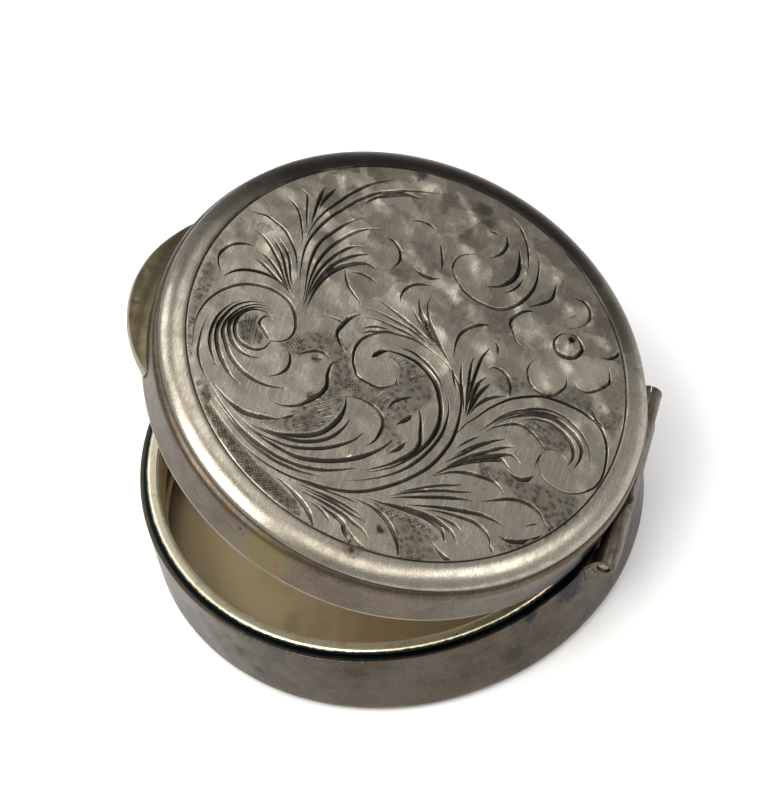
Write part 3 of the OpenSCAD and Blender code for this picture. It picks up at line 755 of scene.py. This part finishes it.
LEFT_SCROLL_AND_FLOWER = (
    (.22, -13, 6.8, -11.8, 7.2, -10.3, 7.3, -9, 7, -7.9, 6.4, -7.1, 5.5, -6.8, 4.5, -6.85, 3.4, -7.3, 2.3, -8.2, 1.4,
     -9.2, 1, -10.2, 1.3, -10.7, 2.1, -10.8, 3),
    (.32, -12.6, 5.4, -11.6, 5.7, -10.6, 5.75, -9.7, 5.4, -9, 4.8, -8.6, 4.1, -8.5, 3.6),
    (.16, -10.2, 6.3, -9.2, 5.9, -8.4, 5.2), (.16, -15.2, 4.4, -14.3, 5.2, -13.2, 5.9, -12, 6.3, -10.6, 6.5),
    (.2, -13.5, 4.2, -12.6, 4.4, -11.8, 4.2, -11.2, 3.7, -10.9, 3.1), (.16, -13.4, 3.5, -13.2, 2.8),
    (.2, -9.3, -4.3, -9.2, -3.7, -8.6, -3.1, -7.9, -2.9, -7.2, -3.1, -6.6, -3.4),
    (.22, -7.5, .2, -7.3, -.5, -7.4, -1.3, -7.8, -1.8),
    (.2, -6.7, -.2, -6.5, -.9, -6.1, -1.5, -5.5, -1.9, -4.8, -2, -4.1, -1.8),
    (.16, -10.5, -.4, -9.3, .1, -8, .3), (.16, -11.7, -1, -11.9, -2, -11.6, -3.2),
    (.26, -7.1, 10.9, -7.1, 11.4, -6.3, 12, -5.4, 11.7, -5.05, 11, -5.3, 10.2, -6, 9.85, -6.8, 10.2, -7.1, 11),
    (.2, -3.5, 11.5, -2.7, 11.6, -1.9, 11.2, -1.3, 10.6, -1.3, 9.8, -1.7, 9.1, -2.6, 8.6, -3.5, 8.65, -4.1, 9.1),
    (.2, -5.4, 14.4, -4.5, 14.65, -3.9, 14.4, -3.2, 13.8, -2.8, 13.2, -2.9, 12.5, -3.4, 12.1),
    (.2, -7.4, 14.8, -6.8, 14.6, -6.3, 14.1, -6.2, 13.4),
    (.2, -10.4, 10.5, -10.3, 11.3, -9.7, 11.8, -9, 11.9, -8.3, 11.5, -7.7, 10.8, -7.4, 10.3), (.2, -9, 10.9, -8.4, 10.3),
    (.2, -10.9, 8.8, -9.7, 8.8, -9, 8.3, -8.3, 7.5, -8, 7),
    (.2, -7.9, 7.9, -7.6, 7.1, -6.9, 6.5, -6.2, 6.3, -5.5, 6.7, -4.8, 7.2, -4.5, 8),
    (.16, -.3, 15.2, -.6, 14.6, -1.1, 14.2, -1.7, 13.8))

# Ground that the engraver darkened with lines: their slope, or the two slopes where they cross, in
# degrees, then their spacing and the area's corners.
HATCHED = (
    ((28, 118), .2, 15.9, -3.8, 14.8, -4.6, 13.7, -6.6, 13.1, -8, 12.3, -9.3, 11.5, -10.5, 10.6, -11.6, 9.9, -12.5,
     10.3, -12.8, 12.3, -10.9, 13.8, -9, 15, -6.9, 15.9, -4.6),
    ((-52,), .21, 4.7, -4.9, 4.8, -4.2, 5.3, -3.8, 6.5, -3.7, 7.8, -4.1, 8.8, -4.9, 9.4, -5.8, 9.8, -7.2, 9.8, -8.6,
     9.4, -8.6, 9.0, -7.4, 8.4, -6.7, 7.9, -6.9, 7, -6, 6, -5.3, 5.2, -5),
    ((78,), .17, 13.5, 2.4, 13.5, 5.5, 14.2, 5.4, 15, 6.3, 15.6, 4.6, 15.9, 3.8, 15, 3.3),
    ((35, -55), .24, 12.7, .6, 12.7, 4.8, 13.3, 5.2, 13.3, 2.0), ((60,), .24, 6.3, 6.9, 6.2, 8.4, 6.6, 9.4, 7.1, 9.2, 7.1, 7.6),
    ((40,), .2, 8.9, 13.2, 9.3, 13.7, 10.2, 13.1, 11.3, 12.3, 12.1, 11.4, 12.9, 10.4, 12.3, 10, 11.9, 11, 11.1, 12.2, 9.8, 13.4),
    ((70,), .2, 1.25, 9.9, 1.3, 11, 1.9, 12.2, 2.5, 12.5, 2.5, 11.4, 1.8, 10.2),
    ((-30,), .2, 3.5, -1.6, 3.5, -.4, 4.6, -.6, 4.7, -1.6), ((-60, 30), .22, 3.6, -4.4, 3.4, -2.9, 4.5, -2.5, 4.7, -4, 4.3, -4.6),
    ((48, -42), .22, 1.5, -8.3, 2.1, -7.3, 3.1, -8, 3, -9.2, 2.4, -8.7), ((5,), .22, 1.5, -12.2, 1.3, -11.5, 2.2, -11.2, 3.0, -10.4, 3.7, -11, 3.5, -12, 2.5, -12.4),
    ((62,), .2, -.6, -16.1, -.4, -15.4, 2.5, -15.8, 5, -15.6, 6.4, -15.0, 6.6, -15.1, 5, -15.7, 2.5, -16.2),
    ((-20,), .22, 10.2, -12.7, 9, -13.5, 8.3, -13.3, 9.3, -12.6), ((-40,), .22, .4, -1.5, .4, .4, 1.3, 1.7, 2.2, 1.3, 1.5, .5, .9, -.5))

# Ground that he left rough and dark: the areas' corners.
ROUGH_GROUND = (
    (6.3, 14.8, 8.2, 15.1, 10.4, 13.2, 9.2, 12.9, 8.3, 11.7, 8, 10.5, 7.3, 9.4, 7.4, 7.3, 6.3, 7, 6.2, 9, 6.4, 10.5,
     6.2, 12.4, 6.1, 13.8),
    (1.1, 12.4, 2.2, 13, 3.2, 12.7, 3, 12, 3.4, 11.3, 2.5, 10.4, 2.1, 9.2, 1.2, 10),
    (12.6, 1.5, 12.7, 4.8, 13.6, 5.8, 14.2, 5.4, 15.2, 6.4, 15.9, 4.6, 16.2, 3.6, 15, 3.2, 13.8, 2.2, 13, .8),
    (.9, 1.8, 2.5, 2.6, 3.9, 1.8, 4.6, 1.3, 5.8, .4, 7, 1.4, 8.4, .5, 7.3, -.2, 6, -.4, 5, -1.2, 4.9, -3, 3.3, -3.2,
     3.4, -1.4, 2.6, -.4, 1, -.4, .5, -1.2, .2, .2),
    (.5, -4.2, 2, -4.1, 3.3, -3.5, 4.8, -4, 4.5, -5, 2.8, -5.1, 2.3, -6.2, 3, -7.4, 3.6, -8, 2.9, -9, 1.6, -8.4,
     .4, -6.5, .6, -5.2),
    (1.2, -11.9, 1.3, -11.3, 2.4, -11, 3, -10.3, 3.9, -10.8, 3.9, -12, 2.5, -12.6),
    (-5, -14.3, -3, -15.8, 0, -15.3, 3, -15.7, 7, -14.8, 9, -13.7, 9.5, -13.2, 6.8, -15, 3.5, -16.1, 0, -16.4,
     -4, -15.9, -7, -14.8),
    (-1.3, 12.8, -1.2, 9, .2, 7.4, -.5, 6.3, -2, 7.4, -1.4, 9.6, -1.7, 11.4, -2.8, 12.2, -2.7, 13.4, -1, 14.5),
    (-3.3, 13.7, -4.6, 14.8, -6.2, 14.6, -7.5, 15, -4, 16.1, -1, 16.3, .3, 16, -.5, 14.9),
    (-8.3, 7.3, -4.6, 7.8, -4.2, 5.6, -5, 3.8, -3.6, 2.9, -6.5, .4, -6.8, 2.5, -6.4, 5.3),
    (-10.3, 12.2, -8.2, 12.3, -7.3, 14, -9.5, 13.6), (-4.4, 9.1, -4.8, 8.2, -6.3, 8.4, -7.3, 10, -5.4, 9.9),
    (-11.5, 1, -13, 2.4, -14.8, 3.4, -15.3, 1, -15.2, -1.6, -13.6, -1, -11.8, -.4),
    (-7.8, .2, -6.8, -1.6, -6.2, -3.4, -8.4, -2.6, -9.6, -3.4, -10.4, -1.2))


def smooth_run(points, step):
    """Points evenly spaced along a smooth curve through a few chosen ones."""
    run = []
    ends = [2 * points[0] - points[1]] + points + [2 * points[-1] - points[-2]]
    for a, b, c, d in zip(ends, ends[1:], ends[2:], ends[3:]):
        count = max(1, round((c - b).length / step))
        for k in range(count):
            t = k / count
            run.append(0.5 * (2 * b + (c - a) * t + (2 * a - 5 * b + 4 * c - d) * t * t
                              + (3 * b - a - 3 * c + d) * t ** 3))
    return run + [points[-1]]


def graver(width, run, start=0.25, end=0.08):
    """One stroke: the line it follows with the width of the V at each point, thin at both ends."""
    last = len(run) - 1
    stroke = []
    for k, p in enumerate(run):
        t = k / last
        swell = min(1.0, start + (1 - start) * t / 0.22, end + (1 - end) * (1 - t) / 0.45)
        stroke.append((p, 0.8 * width * swell))
    return stroke


def inside_area(p, corners):
    """Whether a point lies in an area."""
    odd = False
    for a, b in zip(corners, corners[1:] + corners[:1]):
        if (a.y > p.y) != (b.y > p.y) and p.x < (b.x - a.x) * (p.y - a.y) / (b.y - a.y) + a.x:
            odd = not odd
    return odd


def pairs(numbers):
    """A flat run of numbers as points."""
    return [Vector(numbers[i:i + 2]) for i in range(0, len(numbers), 2)]


hand = random.Random(7)
strokes = []
for group in (TOP_SCROLL, RIGHT_LEAVES, MIDDLE_SCROLL, LOWER_SCROLL, LEFT_STEMS, LEFT_SCROLL_AND_FLOWER):
    for width, *numbers in group:
        strokes.append(graver(width, smooth_run(pairs(numbers), 0.2)))
hatch_from = len(strokes)
for slope, spacing, area in [(s, gap, pairs(numbers)) for slopes, gap, *numbers in HATCHED for s in slopes]:
    along = Vector((math.cos(math.radians(slope)), math.sin(math.radians(slope))))
    over = Vector((-along.y, along.x))
    low = min(p.dot(over) for p in area)
    high = max(p.dot(over) for p in area)
    for i in range(int((high - low) / spacing)):
        level = low + (i + 0.5 + hand.uniform(-0.12, 0.12)) * spacing
        crossings = []
        for a, b in zip(area, area[1:] + area[:1]):
            da, db = a.dot(over) - level, b.dot(over) - level
            if (da > 0) != (db > 0):
                crossings.append(a.lerp(b, da / (da - db)).dot(along))
        crossings.sort()
        for first, last in zip(crossings[::2], crossings[1::2]):
            if last - first > 0.15:
                ends = [along * s + over * level for s in (first + hand.uniform(0, 0.06), last)]
                bow = over * hand.uniform(0.0, 0.03) * (last - first)
                strokes.append(graver(0.075, smooth_run([ends[0], (ends[0] + ends[1]) / 2 + bow, ends[1]], 0.45),
                                      start=0.5, end=0.3))

# The two sides and the bottom of every V, and the border line, are the edges that the top is meshed on.
TOP_R = 16.74
RIM_STEPS = 360
points = []
edges = []
for number, stroke in enumerate(strokes):
    shares = (1.0, 0.6, 0.25, -0.4, -1.0) if number < hatch_from else (1.0, 0.25, -1.0)
    sides = [[] for share in shares]
    for k, (p, half) in enumerate(stroke):
        ahead_of = stroke[min(k + 1, len(stroke) - 1)][0] - stroke[max(k - 1, 0)][0]
        normal_to = Vector((-ahead_of.y, ahead_of.x)).normalized()
        for side, share in zip(sides, shares):
            q = p + normal_to * share * half
            if q.length < 16.45:
                side.append(len(points))
                points.append(q)
            else:
                side.append(None)
    for side in sides:
        edges += [(a, b) for a, b in zip(side, side[1:]) if a is not None and b is not None]
for radius, wander in ((BORDER_R - 0.09, 0.02), (BORDER_R - 0.01, 0.02), (BORDER_R + 0.07, 0.01), (TOP_R, 0.0)):
    first = len(points)
    for i in range(RIM_STEPS):
        a = 2 * math.pi * i / RIM_STEPS
        r = radius + wander * noise.noise(Vector((6 * math.cos(a), 6 * math.sin(a), 0)))
        points.append(Vector((r * math.cos(a), r * math.sin(a))))
    edges += [(first + i, first + (i + 1) % RIM_STEPS) for i in range(RIM_STEPS)]
FILL = 0.34
rows = int(16.4 / (FILL * 0.866))
for j in range(-rows, rows + 1):
    for i in range(-60, 61):
        q = Vector(((i + 0.5 * (j % 2)) * FILL + hand.uniform(-0.07, 0.07), j * FILL * 0.866 + hand.uniform(-0.07, 0.07)))
        if q.length < 16.4:
            points.append(q)
flat_points, flat_edges, flat_faces = delaunay_2d_cdt(points, edges, [], 0, 1e-4)[:3]

# How deep the metal is cut at each point: the deepest of the strokes that pass over it.
CUT_SLOPE = 0.75
BIN = 0.6
HATCH_SLOPE = 0.4
near = {}
for number, stroke in enumerate(strokes):
    steep = CUT_SLOPE if number < hatch_from else HATCH_SLOPE
    for (p, hp), (q, hq) in zip(stroke, stroke[1:]):
        reach = max(hp, hq)
        cells = set()
        for x in (min(p.x, q.x) - reach, max(p.x, q.x) + reach):
            for y in (min(p.y, q.y) - reach, max(p.y, q.y) + reach):
                cells.add((math.floor(x / BIN), math.floor(y / BIN)))
        for cell in cells:
            near.setdefault(cell, []).append((p, q - p, hp, hq, steep))


def cut_depth(v):
    deepest = 0.0
    for p, run, hp, hq, steep in near.get((math.floor(v.x / BIN), math.floor(v.y / BIN)), ()):
        to = v - p
        t = min(1.0, max(0.0, to.dot(run) / max(run.length_squared, 1e-9)))
        half = hp + (hq - hp) * t
        off = math.copysign((to - run * t).length, run.x * to.y - run.y * to.x)
        wall = (half - off) / 0.75 if off > 0.25 * half else (half + off) / 1.25
        deepest = max(deepest, wall * steep)
    return deepest


def ground(v):
    """The hammered and rubbed unevenness of the top: flat facets a millimetre or two wide."""
    left = min(1.0, max(0.0, (3.0 - v.x + 0.3 * v.y) / 9.0))
    facets = 0.0
    for size, hollow in ((2.1, 0.22), (1.1, 0.07)):
        warp = 0.35 * noise.noise_vector(Vector((v.x / size, v.y / size, 4.0)))
        spot = Vector((v.x / size + warp.x, v.y / size + warp.y, 0.0))
        facets += hollow * noise.voronoi(spot)[0][0] ** 2
    slow = 0.05 * noise.noise(Vector((v.x / 4, v.y / 4, 2.0)))
    return (facets - 0.04) * (0.25 + 0.75 * left) + slow


dark_ground = []
for *_, area in [(0, pairs(numbers)) for numbers in ROUGH_GROUND] + [(0, pairs(n)) for _, _, *n in HATCHED]:
    dark_ground.append((min(p.x for p in area), max(p.x for p in area), min(p.y for p in area),
                        max(p.y for p in area), area))


def is_ground(v):
    return any(x1 <= v.x <= x2 and y1 <= v.y <= y2 and inside_area(v, area)
               for x1, x2, y1, y2, area in dark_ground)


form = bmesh.new()
depths = []
rough_ground = []
made = []
for v in flat_points:
    r = v.length
    border = max(0.0, 0.09 - abs(r - BORDER_R)) * 0.9 if r > 16.5 else 0.0
    depth = cut_depth(v) if r < 16.46 else border
    fade = min(1.0, max(0.0, (16.5 - r) / 0.4))
    made.append(form.verts.new((v.x, v.y, LID_TOP - 0.02 + ground(v) * fade - depth)))
    depths.append(depth)
    rough_ground.append((0.5 if v.x < -2 else 1.0) if is_ground(v) else 0.0)
for tri in flat_faces:
    corners = [made[i] for i in tri]
    if sum((c.co.xy.length for c in corners)) / 3 < TOP_R:
        form.faces.new(corners)
rim_line = [Vector(p) for p in ((TOP_R, LID_TOP - 0.02), (16.95, LID_TOP - 0.025), (17.2, LID_TOP - 0.06),
                                (17.45, LID_TOP - 0.125), (17.7, LID_TOP - 0.22), (17.93, LID_TOP - 0.34),
                                (18.13, LID_TOP - 0.47), (18.3, LID_TOP - 0.61), (18.42, LID_TOP - 0.75),
                                (18.48, LID_TOP - 0.88), (18.46, LID_TOP - 0.98), (18.4, LID_TOP - 1.05),
                                (18.28, LID_TOP - 1.1), (18.14, LID_TOP - 1.12), (RIM_IN, LID_TOP - 1.12),
                                (RIM_IN, LID_TOP - 0.85), (RIM_IN - 0.25, LID_TOP - CAP_T), (9, LID_TOP - CAP_T),
                                (0.5, LID_TOP - CAP_T))]
rings = []
for i in range(RIM_STEPS):
    a = 2 * math.pi * i / RIM_STEPS
    rings.append([form.verts.new((p.x * math.cos(a), p.x * math.sin(a), p.y)) for p in rim_line])
for one, two in zip(rings, rings[1:] + rings[:1]):
    for k in range(len(rim_line) - 1):
        form.faces.new((one[k], one[k + 1], two[k + 1], two[k]))
form.faces.new([ring[-1] for ring in rings])
form.verts.ensure_lookup_table()
for v in form.verts:
    if v.index < 0:
        break
first_ring = {(round(ring[0].co.x, 3), round(ring[0].co.y, 3)): ring[0] for ring in rings}
pairs_to_join = {}
for v in made:
    if abs(v.co.xy.length - TOP_R) < 2e-3:
        match = first_ring.get((round(v.co.x, 3), round(v.co.y, 3)))
        if match:
            pairs_to_join[match] = v
            v.co.z = match.co.z
bmesh.ops.weld_verts(form, targetmap=pairs_to_join)
bmesh.ops.recalc_face_normals(form, faces=form.faces)
cap = piece("engraved_cap", form)

# Tarnish: dark in every cut, brown-grey on the hatched ground, and in blots that were never polished out. Painted
# light as well: painted shade under the bead and across the far side of the rim and top, painted highlights and shade
# on the hammered facets, and painted highlights on the petals.
cut_tarnish = cap.data.attributes.new("cut_tarnish", "FLOAT", "POINT")
for v, value in zip(cap.data.vertices, cut_tarnish.data):
    value.value = min(1.0, depths[v.index] / 0.03) if v.index < len(depths) else 0.0
on_ground = cap.data.attributes.new("rough_ground", "FLOAT", "POINT")
for v, value in zip(cap.data.vertices, on_ground.data):
    value.value = rough_ground[v.index] if v.index < len(depths) else 0.0
engraved, tree, place, colour, rough, normal = old_silver("sterling_silver_hand_engraved", "#979083",
                                                          "#7d7669", "#4b453b", 0.26, patch_mm=1.6,
                                                          dull_share=0.5, grain_mm=0.13, relief=0.014)
in_cut = add(tree, "Attribute", attribute_name="cut_tarnish")["Fac"]
cut_soft = add(tree, "MapRange", {"Value": in_cut, "From Min": 0.05, "From Max": 0.8, "To Max": 0.93})
spots = add(tree, "SeparateXYZ", {"Vector": place})
flat = add(tree, "CombineXYZ", {"X": spots["X"], "Y": spots["Y"]})
axis_reach = add(tree, "VectorMath", {0: flat["Vector"]}, operation="LENGTH")
# Darker under the bead: painted shade, with some tarnish.
under_bead_shade = add(tree, "MapRange", {"Value": spots["Z"], "From Min": LID_TOP - 0.72,
                                    "From Max": LID_TOP - 1.05, "To Max": 0.6})
# The rim is darkened towards the far side: painted shade.
far_rim = add(tree, "MapRange", {"Value": add(tree, "VectorMath", {0: place, 1: (-0.9, -0.1, 0.0)},
                                              operation="DOT_PRODUCT")["Value"],
                                 "From Min": 0.0, "From Max": 12.0, "To Max": 0.97})
on_rim = add(tree, "MapRange", {"Value": axis_reach["Value"], "From Min": 16.5, "From Max": 16.7})
far_rim_painted_shade = add(tree, "Math", {0: far_rim["Result"], 1: on_rim["Result"]}, operation="MULTIPLY")
ground_mask = add(tree, "Attribute", attribute_name="rough_ground")["Fac"]
pits = add(tree, "TexVoronoi", {"Vector": place, "Scale": 1 / 0.42, "Randomness": 0.8}, feature="SMOOTH_F1")
pitted = add(tree, "MapRange", {"Value": pits["Distance"], "From Min": 0.1, "From Max": 0.5, "To Min": 0.9,
                                "To Max": 0.35})
ground_cover = add(tree, "Math", {0: ground_mask, 1: pitted["Result"]}, operation="MULTIPLY")
# Hammered facets painted lighter or darker as if each were tilted towards or away from the lamps: painted highlights
# and painted shade.
wander = add(tree, "TexNoise", {"Vector": place, "Scale": 1 / 1.2, "Detail": 2.0})
bent = add(tree, "VectorMath", {0: wander["Color"], 1: (1.6, 1.6, 0.0), 2: place}, operation="MULTIPLY_ADD")
facets = add(tree, "TexVoronoi", {"Vector": bent["Vector"], "Scale": 1 / 2.0})
tilted = add(tree, "SeparateXYZ", {"Vector": facets["Color"]})
hammered = add(tree, "MapRange", {"Value": spots["X"], "From Min": 3.0, "From Max": -7.0, "To Max": 0.32})
catching = add(tree, "MapRange", {"Value": tilted["X"], "From Min": 0.55, "From Max": 0.9})
turned_off = add(tree, "MapRange", {"Value": tilted["X"], "From Min": 0.4, "From Max": 0.1})
facet_painted_highlight = add(tree, "Math", {0: catching["Result"], 1: hammered["Result"]}, operation="MULTIPLY")
facet_painted_shade = add(tree, "Math", {0: turned_off["Result"], 1: hammered["Result"]}, operation="MULTIPLY")
# The top is darkened across its far side: painted shade.
far_side_painted_shade = add(tree, "MapRange", {"Value": spots["X"], "From Min": -4.0, "From Max": -15.0, "To Max": 0.45})
stains_and_painted_light = [(far_side_painted_shade["Result"], "#544c43"), (facet_painted_highlight["Value"], "#bdb6a6"), (facet_painted_shade["Value"], "#3f3931"),
          (ground_cover["Value"], "#3d372f"), (far_rim_painted_shade["Value"], "#2c2722"), (cut_soft["Result"], "#1f1b18"), (under_bead_shade["Result"], "#3a332e")]
for x, y, radius, cover, shade in ((14.6, 1.7, 0.32, 0.9, "#26292c"), (11.8, -11.1, 0.35, 0.5, "#332e29"),
                                   (9.3, -13.0, 0.3, 0.5, "#37312b"), (8.5, -13.7, 0.25, 0.5, "#332d28"),
                                   (16.9, 0.2, 0.7, 0.7, "#6e5f50"), (15.9, -0.5, 0.2, 0.9, "#3c3128"),
                                   (16.4, -0.1, 0.16, 0.9, "#3c3128"), (17.0, 0.2, 0.22, 0.9, "#3c3128"),
                                   (17.5, 0.5, 0.15, 0.8, "#4c3f33"), (-15.9, -3.3, 0.5, 0.8, "#2c332c"),
                                   (-15.0, 2.0, 0.6, 0.7, "#3a342e"), (-13.9, 2.6, 0.5, 0.6, "#3a342e"),
                                   (-6.7, 11.1, 0.35, 1.0, "#1d1a18"), (6.2, -5.9, 0.35, 0.7, "#3a342e"),
                                   # The five pale blots, on the flower's petals and in the left scroll, are painted
                                   # highlights standing for domed relief.
                                   (3.0, -6.5, 0.35, 0.6, "#3a342e"), (-2.6, 10.1, 1.0, 0.4, "#b9b1a0"),
                                   (-4.6, 13.3, 1.0, 0.4, "#b9b1a0"), (-8.9, 10.9, 1.0, 0.35, "#b9b1a0"),
                                   (-6.2, 7.5, 0.9, 0.4, "#b9b1a0"), (-9.0, 2.4, 1.1, 0.3, "#b0a898")):
    blot = patch(tree, place, (x, y, LID_TOP), radius, ragged=0.9, grain=0.35, soft=0.9)
    stains_and_painted_light.append((add(tree, "Math", {0: blot, 1: cover}, operation="MULTIPLY")["Value"], shade))
closed_up(tree, overlaid(tree, colour, stains_and_painted_light), rough, normal)
fitted(cap, "lid", "lid_cap", engraved, crisp=19)
